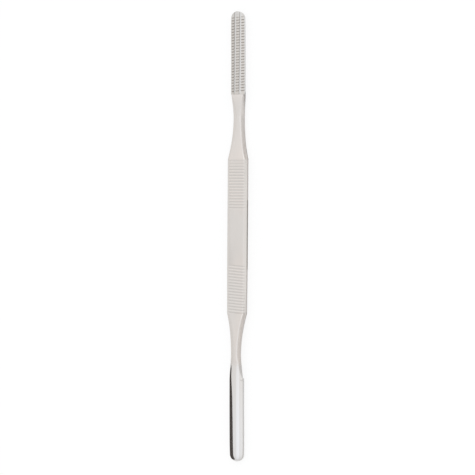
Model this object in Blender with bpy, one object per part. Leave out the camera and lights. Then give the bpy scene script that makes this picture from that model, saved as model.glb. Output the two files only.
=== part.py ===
"""Double-ended bone rasp: a flat ribbed handle with a toothed blade brazed into each end.

Metres, +Z up. The long axis is Y, the handle lies flat, and the origin is the middle of the face it lies on.
The upper end (+Y) shows its teeth upwards, and the lower end is the same end turned half round about X.
"""

import math

import bmesh
import bpy
from mathutils import Vector

# Handle: a flat bar with bevelled edges
HANDLE_LENGTH = 0.0718
HANDLE_WIDTH = 0.0096
HANDLE_THICKNESS = 0.0042
HANDLE_BEVEL = 0.0009

# Grip: cross grooves on both faces of the handle, from its ends to a plain panel in its middle
PANEL_LENGTH = 0.0266
GRIP_END_LAND = 0.00015
GRIP_GROOVE_WIDTH = 0.00070
GRIP_GROOVE_DEPTH = 0.00020
GRIP_LAND = 0.00067

# Neck of a blade: it flares from its waist to the handle on one side and to the head on the other
HANDLE_FLARE_LENGTH = 0.0198
HEAD_FLARE_LENGTH = 0.0103
WAIST_WIDTH = 0.00485
WAIST_THICKNESS = 0.0026
WAIST_BEVEL = 0.0007
WAIST_LIFT = 0.0001

# Tang of a blade, brazed into a socket in the end of the handle
TANG_LENGTH = 0.0150
TANG_WIDTH = 0.0040
TANG_BEVEL = 0.0003
SOCKET_WALL = 0.00095

# Half-round back of a blade's head, and the step that the tooth plate butts against
BACK_DEPTH = 0.0018
BACK_CROWN = 0.0010
SEAT_STEP = 0.0010
SEAT_STEP_RUN = 0.0001
SEAT_STEP_BEVEL = 0.0004
EDGE_BREAK = 0.00015

# Tooth plate: crowned across, round at its tip, and a little larger than the back that carries it
PLATE_LENGTH = 0.0388
PLATE_WIDTH = 0.00685
PLATE_EDGE = 0.0011
PLATE_CROWN = 0.0009
PLATE_TIP = 0.0030
PLATE_LEDGE = 0.0002
CREST_RELIEF = 0.0001

# Teeth: from the handle to the tip, each row slopes down, rises steeply and has a land
TOOTH_SLOPE = 0.00050
TOOTH_FACE = 0.00025
TOOTH_LAND = 0.00057
TOOTH_DEPTH = 0.00040
TOOTH_SLANT = math.radians(5.5)
BASE_LAND = 0.0009
COLUMN_SPACING = 0.0024
COLUMN_GROOVE_WIDTH = 0.0009
COLUMN_GROOVE_DEPTH = 0.0005

# Braze: the gap that it fills round each tang and under each tooth plate
BRAZE_GAP = 0.00005

# Facets of the curved stretches
NECK_STEPS = 7
BACK_STEPS = 12
TIP_STEPS = 6
CROWN_STEPS = 2
TIP_LAST_ANGLE = math.radians(78)
SMOOTH_ANGLE = math.radians(28)
MERGE_DISTANCE = 1e-7

# The most of a section's height that its front bevel may take
BEVEL_SHARE = 0.4

# Finishes: linear colour and roughness
HANDLE_FINISH = ((0.66, 0.63, 0.59), 0.42)
BLADE_FINISH = ((0.72, 0.71, 0.70), 0.16)
TOOTH_FINISH = ((0.60, 0.57, 0.54), 0.34)

# Pitches and thicknesses that follow
GRIP_PITCH = GRIP_GROOVE_WIDTH + GRIP_LAND
TOOTH_PITCH = TOOTH_SLOPE + TOOTH_FACE + TOOTH_LAND
TANG_THICKNESS = HANDLE_THICKNESS - 2 * (SOCKET_WALL + BRAZE_GAP)
PLATE_THICKNESS = PLATE_EDGE + PLATE_CROWN

# Heights over the middle plane of the handle, on the upper end
FACE_HEIGHT = HANDLE_THICKNESS / 2
SEAT_HEIGHT = FACE_HEIGHT - CREST_RELIEF - PLATE_THICKNESS - BRAZE_GAP
BACK_HEIGHT = SEAT_HEIGHT - BACK_DEPTH
WAIST_BACK = WAIST_LIFT - FACE_HEIGHT
WAIST_FRONT = WAIST_BACK + WAIST_THICKNESS

# Distances along a blade, from its shoulder
NECK_LENGTH = HANDLE_FLARE_LENGTH + HEAD_FLARE_LENGTH
SEAT_START = NECK_LENGTH + SEAT_STEP_RUN
PLATE_START = SEAT_START + BRAZE_GAP
BACK_WIDTH = PLATE_WIDTH - 2 * PLATE_LEDGE
BACK_END = PLATE_START + PLATE_LENGTH - PLATE_LEDGE


def clear_scene():
    for obj in list(bpy.data.objects):
        bpy.data.objects.remove(obj, do_unlink=True)


def new_collection(name):
    collection = bpy.data.collections.new(name)
    bpy.context.scene.collection.children.link(collection)
    return collection


def finish_steel(mesh, finish):
    """Gives a mesh its own metal, named for it."""
    colour, roughness = finish
    material = bpy.data.materials.new(f"{mesh.name}_steel")
    material.use_nodes = True
    shader = material.node_tree.nodes["Principled BSDF"]
    shader.inputs["Base Color"].default_value = (*colour, 1)
    shader.inputs["Roughness"].default_value = roughness
    shader.inputs["Metallic"].default_value = 1
    mesh.materials.append(material)


def place(name, mesh, collection, parent, location=(0, 0, 0), turn=0):
    """One named object on a mesh, under its parent, turned about X."""
    obj = bpy.data.objects.new(name, mesh)
    obj.parent = parent
    obj.location = location
    obj.rotation_euler.x = turn
    collection.objects.link(obj)
    return obj


def place_cutter(*args):
    obj = place(*args)
    obj.hide_render = True
    obj.display_type = "WIRE"
    return obj


def boolean(obj, other, operation):
    modifier = obj.modifiers.new(other.name, "BOOLEAN")
    modifier.operation = operation
    modifier.object = other


def mesh_from(bm, name):
    bmesh.ops.recalc_face_normals(bm, faces=bm.faces)
    mesh = bpy.data.meshes.new(name)
    bm.to_mesh(mesh)
    bm.free()
    mesh.shade_smooth()
    mesh.set_sharp_from_angle(angle=SMOOTH_ANGLE)
    return mesh


def loft(name, rings):
    """A closed body through rings of as many points each, with flat ends."""
    bm = bmesh.new()
    loops = [[bm.verts.new(point) for point in ring] for ring in rings]
    for near, far in zip(loops, loops[1:]):
        for i in range(len(near)):
            bm.faces.new((near[i - 1], near[i], far[i], far[i - 1]))
    bm.faces.new(loops[0])
    bm.faces.new(reversed(loops[-1]))
    return mesh_from(bm, name)


def grip_grooves():
    """Distances of the grooves of one grip field from the end of the handle."""
    first = GRIP_END_LAND + GRIP_GROOVE_WIDTH / 2
    field = (HANDLE_LENGTH - PANEL_LENGTH) / 2 - first
    count = int(field / GRIP_PITCH) + 1
    return [first + i * GRIP_PITCH for i in range(count)]


def handle_ring(y, sink):
    """Section of the handle, its two faces lowered by sink and its sides kept."""
    half = HANDLE_WIDTH / 2
    flat = half - HANDLE_BEVEL
    face = FACE_HEIGHT - sink
    side = FACE_HEIGHT - HANDLE_BEVEL
    right = [(flat, face), (half, side), (half, -side), (flat, -face)]
    outline = right + [(-x, -z) for x, z in right]
    return [Vector((x, y, z)) for x, z in outline]


def handle_mesh():
    end = HANDLE_LENGTH / 2
    half_groove = GRIP_GROOVE_WIDTH / 2
    upper = [handle_ring(end, 0)]
    for distance in grip_grooves():
        middle = end - distance
        upper.append(handle_ring(middle + half_groove, 0))
        upper.append(handle_ring(middle, GRIP_GROOVE_DEPTH))
        upper.append(handle_ring(middle - half_groove, 0))
    lower = [[Vector((point.x, -point.y, point.z)) for point in ring] for ring in reversed(upper)]
    return loft("handle", upper + lower)


def back_curve(half, back, drop, roundness):
    """From the right side round the back to the left: a bevelled flat at roundness 0, an arc at 1."""
    radius = (half**2 + drop**2) / (2 * drop)
    reach = math.asin(half / radius)
    last = BACK_STEPS
    points = []
    for i in range(last + 1):
        share = 1 - 2 * i / last
        arc = Vector((radius * math.sin(share * reach), back + radius * (1 - math.cos(share * reach))))
        if i in (0, last):
            bar = Vector((half * share, back + drop))
        else:
            bar = Vector(((half - drop) * (last - 2 * i) / (last - 2), back))
        points.append(bar.lerp(arc, roundness))
    return points


def blade_ring(y, width, front, back, front_bevel, back_drop, roundness=0):
    """Section of a blade: a bevelled front from side to side, then the back."""
    half = width / 2
    bevel = min(front_bevel, BEVEL_SHARE * (front - back))
    drop = min(back_drop, (1 - BEVEL_SHARE) * (front - back))
    right = [Vector((half - bevel, front)), Vector((half, front - bevel))]
    left = [Vector((-half, front - bevel)), Vector((bevel - half, front))]
    outline = right + back_curve(half, back, drop, roundness) + left
    return [Vector((x, y, z)) for x, z in outline]


def along_neck(at_handle, at_waist, at_head, distance):
    """A size that runs in two parabolas, both with their foot at the waist."""
    past_waist = distance - HANDLE_FLARE_LENGTH
    if past_waist < 0:
        return at_waist + (at_handle - at_waist) * (past_waist / HANDLE_FLARE_LENGTH) ** 2
    return at_waist + (at_head - at_waist) * (past_waist / HEAD_FLARE_LENGTH) ** 2


def neck_ring(distance):
    return blade_ring(
        distance,
        along_neck(HANDLE_WIDTH, WAIST_WIDTH, BACK_WIDTH, distance),
        along_neck(FACE_HEIGHT, WAIST_FRONT, SEAT_HEIGHT + SEAT_STEP, distance),
        along_neck(-FACE_HEIGHT, WAIST_BACK, BACK_HEIGHT, distance),
        along_neck(HANDLE_BEVEL, WAIST_BEVEL, SEAT_STEP_BEVEL, distance),
        along_neck(HANDLE_BEVEL, WAIST_BEVEL, BACK_CROWN, distance),
        along_neck(0, 0, 1, distance),
    )


def tang_ring(y, clearance=0):
    """Section of the tang, or of the socket that holds it with this clearance."""
    half = TANG_THICKNESS / 2 + clearance
    return blade_ring(y, TANG_WIDTH + 2 * clearance, half, -half, TANG_BEVEL, TANG_BEVEL)


def tip_ring(angle):
    """Section of the back in its round tip: narrower and shallower as the angle grows."""
    narrow = math.cos(angle)
    back = SEAT_HEIGHT - BACK_DEPTH * math.sqrt(narrow)
    distance = BACK_END - PLATE_TIP * (1 - math.sin(angle))
    return blade_ring(distance, BACK_WIDTH * narrow, SEAT_HEIGHT, back, EDGE_BREAK, BACK_CROWN * narrow, 1)


def blade_mesh():
    """Tang, neck and half-round back in one body. Its origin is in the plane of its shoulder."""
    rings = [tang_ring(-TANG_LENGTH), tang_ring(0)]
    rings += [neck_ring(HANDLE_FLARE_LENGTH * i / NECK_STEPS) for i in range(NECK_STEPS)]
    for i in range(NECK_STEPS + 1):
        rings.append(neck_ring(HANDLE_FLARE_LENGTH + HEAD_FLARE_LENGTH * i / NECK_STEPS))
    rings.append(
        blade_ring(SEAT_START, BACK_WIDTH, SEAT_HEIGHT, BACK_HEIGHT, EDGE_BREAK, BACK_CROWN, 1)
    )
    rings += [tip_ring(TIP_LAST_ANGLE * i / TIP_STEPS) for i in range(TIP_STEPS + 1)]
    return loft("blade", rings)


def socket_mesh():
    """The space that a tang takes in the handle, from just outside the end of the handle."""
    return loft(
        "tang_socket", [tang_ring(-TANG_LENGTH - BRAZE_GAP, BRAZE_GAP), tang_ring(TANG_BEVEL, BRAZE_GAP)]
    )


def plate_outline_mesh():
    """The plate's outline from above, as a prism that is taller than the plate."""
    half = PLATE_WIDTH / 2
    straight = PLATE_LENGTH - PLATE_TIP
    corners = [(-half, 0), (half, 0)]
    for i in range(2 * TIP_STEPS + 1):
        angle = math.pi * i / (2 * TIP_STEPS)
        corners.append((half * math.cos(angle), straight + PLATE_TIP * math.sin(angle)))
    curve = bpy.data.curves.new("plate_outline", "CURVE")
    curve.dimensions = "2D"
    curve.fill_mode = "BOTH"
    curve.extrude = 2 * PLATE_THICKNESS
    spline = curve.splines.new("POLY")
    spline.points.add(len(corners) - 1)
    for point, (x, y) in zip(spline.points, corners):
        point.co = (x, y, 0, 1)
    spline.use_cyclic_u = True
    guide = bpy.data.objects.new("plate_outline_guide", curve)
    bpy.context.scene.collection.objects.link(guide)
    graph = bpy.context.evaluated_depsgraph_get()
    mesh = bpy.data.meshes.new_from_object(guide.evaluated_get(graph))
    bpy.data.objects.remove(guide, do_unlink=True)
    bm = bmesh.new()
    bm.from_mesh(mesh)
    bmesh.ops.remove_doubles(bm, verts=bm.verts, dist=MERGE_DISTANCE)
    bpy.data.meshes.remove(mesh)
    return mesh_from(bm, "plate_outline")


def crown_height(x):
    """Height of the plate's face over its seat, on an arc across the plate."""
    half = PLATE_WIDTH / 2
    radius = (half**2 + PLATE_CROWN**2) / (2 * PLATE_CROWN)
    return PLATE_THICKNESS - radius + math.sqrt(radius**2 - x**2)


def column_lines():
    """Where the face changes slope across the plate: (x, depth below the crown)."""
    groove = COLUMN_SPACING / 2
    half_groove = COLUMN_GROOVE_WIDTH / 2
    outside = PLATE_WIDTH / 2 + EDGE_BREAK
    shoulder = groove + half_groove
    right = [(0, 0), (groove - half_groove, 0), (groove, COLUMN_GROOVE_DEPTH)]
    for i in range(CROWN_STEPS + 1):
        right.append((shoulder + (outside - shoulder) * i / CROWN_STEPS, 0))
    left = [(-x, depth) for x, depth in reversed(right[1:])]
    return left + right


def tooth_lines():
    """Where the face changes slope along the plate: (y, depth below the crown)."""
    lines = [(-TOOTH_PITCH, 0)]
    for i in range(int((PLATE_LENGTH - BASE_LAND) / TOOTH_PITCH) + 1):
        start = BASE_LAND + i * TOOTH_PITCH
        lines.append((start, 0))
        lines.append((start + TOOTH_SLOPE, TOOTH_DEPTH))
        lines.append((start + TOOTH_SLOPE + TOOTH_FACE, 0))
    lines.append((PLATE_LENGTH + TOOTH_PITCH, 0))
    return lines


def toothed_block_mesh():
    """The toothed face as a grid whose lines slant with the teeth, on a block that stands on the seat."""
    columns = column_lines()
    rows = tooth_lines()
    bm = bmesh.new()
    bmesh.ops.create_grid(bm, x_segments=len(columns) - 1, y_segments=len(rows) - 1, size=1)
    for i, vert in enumerate(bm.verts):
        x, groove = columns[i % len(columns)]
        y, gullet = rows[i // len(columns)]
        vert.co = (x, y + x * math.tan(TOOTH_SLANT), crown_height(x) - max(groove, gullet))
    rim = [edge for edge in bm.edges if edge.is_boundary]
    walls = bmesh.ops.extrude_edge_only(bm, edges=rim)["geom"]
    for item in walls:
        if isinstance(item, bmesh.types.BMVert):
            item.co.z = 0
    bmesh.ops.holes_fill(bm, edges=[edge for edge in bm.edges if edge.is_boundary])
    return mesh_from(bm, "tooth_plate")


def main():
    clear_scene()
    parts = new_collection("bone_rasp")
    cutters = new_collection("cutters")
    handle_bar = handle_mesh()
    blade = blade_mesh()
    plate = toothed_block_mesh()
    socket = socket_mesh()
    outline = plate_outline_mesh()
    finish_steel(handle_bar, HANDLE_FINISH)
    finish_steel(blade, BLADE_FINISH)
    finish_steel(plate, TOOTH_FINISH)

    middle = bpy.data.objects.new("handle_middle", None)
    middle.location.z = FACE_HEIGHT
    parts.objects.link(middle)
    handle = place("handle", handle_bar, parts, middle)
    seat = (0, PLATE_START, SEAT_HEIGHT + BRAZE_GAP)
    for end, side, turn in (("upper", 1, 0), ("lower", -1, math.pi)):
        shoulder = (0, side * (HANDLE_LENGTH / 2 + BRAZE_GAP), 0)
        end_blade = place(f"{end}_blade", blade, parts, middle, shoulder, turn)
        end_plate = place(f"{end}_tooth_plate", plate, parts, end_blade, seat)
        end_socket = place_cutter(f"{end}_tang_socket", socket, cutters, middle, shoulder, turn)
        end_outline = place_cutter(f"{end}_plate_outline", outline, cutters, end_blade, seat)
        boolean(handle, end_socket, "DIFFERENCE")
        boolean(end_plate, end_outline, "INTERSECT")


main()
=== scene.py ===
"""Bone rasp: the looks of the packed part and the stage it is photographed on.

The file is laid out as an add-on and is run as a script. Each operator makes one piece, or a pair of
like pieces, in metres and in the frame of the packed part.
"""

import math
from typing import NamedTuple

import bmesh
import bpy
from mathutils import Matrix, Vector


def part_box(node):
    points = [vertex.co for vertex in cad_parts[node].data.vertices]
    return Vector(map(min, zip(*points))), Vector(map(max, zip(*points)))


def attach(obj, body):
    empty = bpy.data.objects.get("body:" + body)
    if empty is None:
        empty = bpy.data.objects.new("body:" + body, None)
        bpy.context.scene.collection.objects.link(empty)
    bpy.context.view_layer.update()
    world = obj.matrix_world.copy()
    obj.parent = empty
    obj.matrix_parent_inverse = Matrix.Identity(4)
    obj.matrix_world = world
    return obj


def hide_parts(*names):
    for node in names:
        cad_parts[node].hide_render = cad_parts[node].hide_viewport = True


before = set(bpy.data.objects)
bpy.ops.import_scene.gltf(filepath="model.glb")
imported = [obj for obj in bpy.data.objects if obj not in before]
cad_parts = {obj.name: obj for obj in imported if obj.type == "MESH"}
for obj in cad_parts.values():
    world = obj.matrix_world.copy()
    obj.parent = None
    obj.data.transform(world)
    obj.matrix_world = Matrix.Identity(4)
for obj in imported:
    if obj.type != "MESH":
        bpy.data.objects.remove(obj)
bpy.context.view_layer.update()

HANDLE_LOW, HANDLE_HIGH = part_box("handle")
PLATE_LOW, PLATE_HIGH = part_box("upper_tooth_plate")
MIDDLE_HEIGHT = (HANDLE_LOW.z + HANDLE_HIGH.z) / 2

bl_info = {
    "name": "Bone rasp",
    "version": (1, 0, 0),
    "blender": (4, 5, 0),
    "location": "3D View > Sidebar > Bone rasp",
    "description": "Builds a double-ended steel bone rasp and its studio stage",
    "category": "Add Mesh",
}


def length(name, description, default):
    return bpy.props.FloatProperty(
        name=name, description=description, default=default, min=0, precision=5, unit="LENGTH"
    )


def share(name, description, default):
    return bpy.props.FloatProperty(
        name=name, description=description, default=default, min=0, max=1, subtype="FACTOR"
    )


def angle(name, description, default):
    return bpy.props.FloatProperty(
        name=name, description=description, default=math.radians(default), subtype="ANGLE"
    )


def colour(name, description, default):
    return bpy.props.FloatVectorProperty(
        name=name, description=description, default=default, size=3, min=0, max=2, subtype="COLOR"
    )


class HandleSizes(bpy.types.PropertyGroup):
    """Sizes of the ribbed handle."""

    length: length("Length", "From one shoulder to the other", HANDLE_HIGH.y - HANDLE_LOW.y)
    width: length("Width", "Across the middle of the bar", HANDLE_HIGH.x - HANDLE_LOW.x)
    end_width: length("End width", "Across the bar's lower end", HANDLE_HIGH.x - HANDLE_LOW.x - 0.0003)
    straight: length("Straight length", "From the middle to where the bar narrows downwards", 0.0140)
    thickness: length("Thickness", "From face to face", HANDLE_HIGH.z - HANDLE_LOW.z)
    bevel: length("Bevel", "Leg of the bevel along each long edge", 0.00115)
    edge: length("Edge rounding", "Reach of an edge's rounding to either side", 0.00028)
    first_groove: length("First groove", "From a shoulder to the first groove, before the shift", 0.00044)
    field_shift: length("Field shift", "How far both grip fields lie towards the lower end", 0.00038)
    groove_slant: angle("Groove slant", "Lean of the lower field's grooves", 5.1)
    groove_pitch: length("Groove pitch", "From one groove to the next", 0.00137)
    groove_width: length("Groove width", "From crest to crest of one groove", 0.00110)
    groove_depth: length("Groove depth", "Depth of a groove in the face", 0.00017)
    groove_count: bpy.props.IntProperty(
        name="Grooves", description="Grooves in one grip field", default=17, min=1
    )
    worn_length: length("Worn length", "Stretch of worn grooves at the upper end", 0.0062)
    worn_depth: share("Worn depth", "Share of a groove's depth left at the upper end", 0.35)
    socket_clearance: length("Socket clearance", "Gap round the tang in its socket", 0.00005)
    joint_gap: length("Joint gap", "Gap left at the brazed joints that show", 0.00002)


class BladeSizes(bpy.types.PropertyGroup):
    """Sizes of a blade: tang, neck and half-round back."""

    tang_length: length("Tang length", "Depth of the tang in the handle", 0.0150)
    tang_width: length("Tang width", "Across the tang", 0.0040)
    tang_thickness: length("Tang thickness", "Height of the tang", 0.0022)
    tang_bevel: length("Tang bevel", "Leg of the tang's bevels", 0.0003)
    handle_flare: length("Handle flare", "From the shoulder to the waist", 0.0198)
    upper_waist: length("Upper waist", "Across the upper blade's waist", 0.00550)
    lower_waist: length("Lower waist", "Across the lower blade's waist", 0.00490)
    upper_seat: length("Upper seat", "Across the upper neck's face at the plate", 0.00605)
    lower_seat: length("Lower seat", "Across the lower neck's face at the plate", 0.00535)
    waist_thickness: length("Waist thickness", "Height of the waist", 0.0026)
    waist_lift: length("Waist lift", "From the table to the waist's back", 0.0001)
    waist_facet: length("Waist facet", "Width of the waist's facets, across", 0.0017)
    waist_drop: length("Waist facet drop", "Height of the waist's facets", 0.00118)
    waist_edge: length("Waist rounding", "Reach of the rounding of the waist's edges", 0.00055)
    back_depth: length("Back depth", "From the seat to the crown of the back", 0.0018)
    back_crown: length("Back crown", "Rise of the half-round back", 0.0010)
    seat_step: length("Seat step", "Height of the step behind the plate", 0.00186)
    seat_facet: length("Seat facet", "Width of the neck's facets at the plate", 0.00025)
    seat_drop: length("Seat facet drop", "Height of the neck's facets at the plate", 0.00030)
    head_edge: length("Head rounding", "Reach of the rounding of the head's edges", 0.00012)
    ledge: length("Ledge", "How far the plate stands out past the back", 0.0002)
    lean: length("Lean", "How far each tip leans aside, the upper one to the left", 0.00035)
    bow: length("Bow", "How far each neck bows aside, against its tip's lean", 0.00017)


class ToothSizes(bpy.types.PropertyGroup):
    """Sizes of a tooth plate."""

    length: length("Length", "From the step to the tip", PLATE_HIGH.y - PLATE_LOW.y)
    width: length("Width", "Across the plate", PLATE_HIGH.x - PLATE_LOW.x)
    edge: length("Edge height", "Thickness of the plate at its sides", 0.0011)
    crown: length("Crown", "Rise of the plate's face across its width", 0.0009)
    roll: length("Side roll", "Width of the rounding between face and side", 0.00032)
    tip: length("Tip length", "Length of the round tip", 0.0031)
    taper: length("Taper", "How much either side narrows towards the tip", 0.00024)
    taper_length: length("Taper length", "Stretch that narrows towards the tip", 0.0110)
    base_land: length("Base land", "Plain strip before the first tooth", 0.0011)
    slope: length("Slope", "Run of a gullet's long side", 0.00050)
    face: length("Face", "Run of a tooth's steep face", 0.00025)
    land: length("Land", "Width of a tooth's crest", 0.00057)
    depth: length("Depth", "Depth of a gullet", 0.00034)
    slant: angle("Slant", "Turn of the tooth rows from square", 5.5)
    plain_side: length("Plain side", "Strip along each side where gullets run out", 0.00060)
    column_spacing: length("Column spacing", "From one long groove to the other", 0.00253)
    column_shift: length("Column shift", "How far left the long grooves lie at the step", 0.00012)
    column_lean: length("Column lean", "How far they run to the right towards the tip", 0.00045)
    column_wall: length("Column wall", "Run of a long groove's steep left side", 0.00014)
    column_slope: length("Column slope", "Run of a long groove's gentle right side", 0.00076)
    column_depth: length("Column depth", "Depth of a long groove", 0.00022)
    tip_roll: length("Tip roll", "Width of the rounding at the tip", 0.0009)
    plain_tip: length("Plain tip", "Stretch at the tip where gullets run out", 0.0036)
    worn_middle: share("Worn middle", "How much shallower gullets are along the middle", 0.24)


class SteelFinishes(bpy.types.PropertyGroup):
    """Colours and gloss of the steel."""

    satin: colour("Satin", "Satin steel of the handle", (0.674, 0.643, 0.614))
    neck: colour("Neck satin", "Satin steel of the necks", (0.690, 0.656, 0.626))
    tint: colour("Tint", "What the satin is multiplied by where it is warmer", (1.015, 0.990, 0.974))
    satin_rough: share("Satin roughness", "Roughness of the satin steel", 0.36)
    polish: colour("Polish", "Polished steel of the half-round backs", (0.752, 0.744, 0.740))
    # The polish where it begins is warmer and darker: a painted reflection tint.
    warm_reflection_polish: colour("Polish at the neck", "Polished steel where it begins", (0.725, 0.700, 0.678))
    polish_rough: share("Polish roughness", "Roughness of the polished steel", 0.09)
    tooth: colour("Teeth", "Ground steel of the tooth plates", (0.610, 0.578, 0.543))
    # The gullets' colour is painted shade in the recesses, with a warm tint.
    gullet: colour("Gullets", "Steel in the bottom of the gullets", (0.475, 0.450, 0.424))
    plate_side: colour("Plate sides", "Ground steel of the plates' sides", (0.690, 0.688, 0.682))
    tooth_rough: share("Tooth roughness", "Roughness of the tooth plates", 0.30)
    tip_worn: length("Worn tip", "Stretch of teeth rubbed bright at the tip", 0.0060)
    grain: length("Grain", "Size of the blasted grain", 0.00009)
    hairline: length("Hairlines", "Width of the faint lengthwise hairlines", 0.00006)
    cloud: length("Clouds", "Size of the slow changes of tone", 0.0054)
    contrast: share("Contrast", "How far the steel's tone goes from its colour", 0.12)
    # The worn edges' brightening is partly a painted highlight.
    worn: share("Wear", "How much brighter the worn edges are", 0.02)
    # Painted shade in the grip grooves' bottoms.
    groove_shade: share("Groove shade", "How much darker the grip grooves' bottoms are", 0.05)
    polish_start: length("Polish start", "From the middle to where the polish begins", 0.0582)
    polish_full: length("Polish full", "From the middle to where the polish is complete", 0.0615)
    polish_clear: length("Polish clear", "From the middle to where its warm tint ends", 0.0950)
    # Painted sheen: the necks lighter towards the heads.
    sheen_start: length("Bright start", "From the middle to where the necks brighten", 0.0500)
    sheen_full: length("Bright full", "From the middle to where they are brightest", 0.0600)
    bright: share("Bright necks", "How much brighter the necks are at the heads", 0.05)
    # Painted highlight on the necks' right edges near the shoulders.
    ridge: length("Ridge", "How far from the shoulder a neck's right edges are rubbed", 0.0050)
    rubbed: share("Ridge highlight", "How much brighter these edges are at the shoulder", 0.32)


class StageSettings(bpy.types.PropertyGroup):
    """Camera, table, light and cards."""

    tilt: angle("Tilt", "Turn of the view from straight above to the right side", 18)
    lean: angle("Lean", "Turn of the instrument in the picture", 0.40)
    view_width: length("View width", "Width of the picture at the instrument", 0.2218)
    lens: bpy.props.FloatProperty(
        name="Lens", description="Focal length", default=200, min=50, unit="CAMERA"
    )
    end_light: share("End light", "How much brighter the tent is at the upper end", 0.20)
    side_light: share("Side light", "How much brighter the tent is on the right", 0.06)
    table: colour("Table", "Colour of the table", (0.90, 0.90, 0.90))
    table_half: length("Table size", "Half the width of the table", 3.0)
    table_seen: share("Table glow", "Share of plain white that the camera sees", 0.8)
    table_mirrored: share("Table glow in metal", "Share of plain white that the metal sees", 0.5)
    dark: colour("Dark card", "Card on the left of the lower head", (0.095, 0.084, 0.078))
    dark_distance: length("Dark card distance", "From the middle line to the dark card", 0.020)
    pale: colour("Pale cards", "Cards on the right of the necks", (0.785, 0.780, 0.778))
    pale_distance: length("Pale card distance", "From the middle line to the pale cards", 0.030)
    # The strips lie on the table where the instrument's shadow falls, and only the metal sees them:
    # painted shadow.
    shade_grey: colour("Grey strips", "Strips along the necks' right sides", (0.58, 0.57, 0.56))
    panel_shadow: colour("Brown strip", "Strip along the panel's right side", (0.47, 0.455, 0.435))
    shadow_strip_width: length("Strip width", "Width of the strips on the table", 0.0040)
    lamp: colour("Overhead lamp", "Colour of the overhead lamp", (0.80, 0.95, 1.20))
    lamp_height: length("Lamp height", "From the table to the overhead lamp", 0.60)
    lamp_length: length("Lamp length", "Length of the overhead lamp", 1.40)
    lamp_left: angle("Lamp left", "Where the lamp begins, from straight above", -10)
    lamp_right: angle("Lamp right", "Where the lamp ends, from straight above", 18)
    lamp_light: share("Lamp light", "Light of the lamp, as a share of the tent's", 0.15)


# Steps and rings of the meshes, and the angles past which an edge is sharp.
HANDLE_STEPS = 12
FACE_STEPS = 8
CORNER_STEPS = 5
FLAT_STEPS = 12
NECK_RINGS = 36
HEAD_RINGS = 24
TAPER_STEPS = 8
TIP_RINGS = 14
ROLL_STEPS = 8
SIDE_STEPS = 2
COLUMN_STEPS = 6
TIP_LAST_ANGLE = math.radians(87)
FLAT_SMOOTH_ANGLE = math.radians(40)
TOOTH_SMOOTH_ANGLE = math.radians(25)
# A rounding takes at most this share of a side, so that the two on one side don't meet.
ROUNDED_SHARE = 0.48
# The rounding in a socket and on a tang, as a share of the edge or bevel.
TANG_ROUNDING = 1 / 3
# How a neck's facets and back change from its waist, how a head leans and where a neck bows.
FACET_POWER = 1.5
BACK_POWER = 4
LEAN_POWER = 1.5
BOW_START = HANDLE_HIGH.y + 0.0010
BOW_END = PLATE_LOW.y + 0.0035
# The grip grooves keep their depth down to this share of the bevel under the face.
GROOVE_END = 0.1
# The two long grooves' places, as shares of their spacing.
COLUMN_SIDES = (-0.5, 0.5)
# Where the teeth begin again on a long groove's gentle side, as shares of it.
STRIP_END = (0.65, 1.1)
# Middle and reach of the painted shade line on a long groove's steep side, as shares of it.
SHADE_LINE = (0.5, 0.8)
# Where the long grooves begin in the base land, and the gullets in the plain tip.
GROOVE_START = 0.6
TIP_START = 0.2
# What is left of a gullet at the plate's side, the crests' mark, worn bright with a painted highlight,
# and the painted shade on the tip's rim.
SIDE_GULLET = 0.1
CREST_WEAR_AND_SHEEN = 0.5
RIM_SHADE = 0.5
# Room for rounding errors where the first tooth and each crest begin.
FIRST_TOLERANCE = 1e-6
CREST_TOLERANCE = 0.01

# Shares of the noises and marks in the tone, roughness and height of the steels.
SATIN_TONE = {"hairlines": 0.7, "grain": 0.6, "clouds": 0.35}
SATIN_ROUGH = {"hairlines": 0.10, "grain": 0.10, "groove": 0.04, "edge": -0.06}
SATIN_HEIGHT = {"grain": 1.0, "hairlines": 0.6}
TOOTH_TONE = {"lines": 0.8, "grain": 0.5, "patches": 0.4}
TOOTH_ROUGH = {"lines": 0.12, "gullet": 0.12, "crest": -0.05}
TOOTH_HEIGHT = {"grain": 0.5, "lines": 1.0}
# The hairlines in the polish.
POLISH_CONTRAST = 0.03
POLISH_ROUGH = 0.05
POLISH_HEIGHT = 0.06
# How far the noises are drawn out along the instrument, and their sizes against the finishes'.
FINE_DETAIL = 3.0
HAIRLINE_STRETCH = 40.0
CLOUD_STRETCH = 2.5
TINT_STRETCH = 2.0
TINT_SIZE = 2.5
TINT_RANGE = (-0.10, 0.16)
LINE_STRETCH = 0.15
LINE_SIZE = 5
PATCH_SIZE = 0.6
# How bright the worn tip is, how dark and patchy the painted shade in the gullets is, and where a plate's
# side is plain.
TIP_WEAR = 0.6
GULLET_SHADE = 0.9
GULLET_PATCHES = 0.6
SIDE_START = 0.2
GRAIN_DEPTH = 5e-6

# The stage.
WHITE = (1, 1, 1, 1)
TABLE_HEIGHT = -2e-5
TABLE_STRENGTH = 1.03
PHOTO_PIXELS = 475
SENSOR_WIDTH = 36
FAR_CLIP = 20
AIM_PIXELS = (0.1, 1.1)
# The cards' upper edges: the place along the instrument, and the rise over the card's distance.
CARD_END = ((0.0655, 1.35), (0.069, 0.60))
UPPER_EDGE = ((0.037, 0.44), (0.050, 0.52), (0.056, 1.20), (0.061, 1.50), *CARD_END)
LOWER_EDGE = ((0.037, 0.74), (0.048, 0.82), (0.056, 1.05), (0.061, 1.50), *CARD_END)
SHADE_EDGE = ((0.0605, 1.45), *CARD_END)
DARK_EDGE = (
    (-0.0590, 0.02),
    (-0.0633, 0.46),
    (-0.0700, 0.76),
    (-0.0770, 0.94),
    (-0.0880, 1.06),
    (-0.1050, 1.19),
    (-0.1300, 1.50),
)
# The shade card's distance, as a share of the pale cards'.
SHADE_SHARE = 0.97
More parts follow.
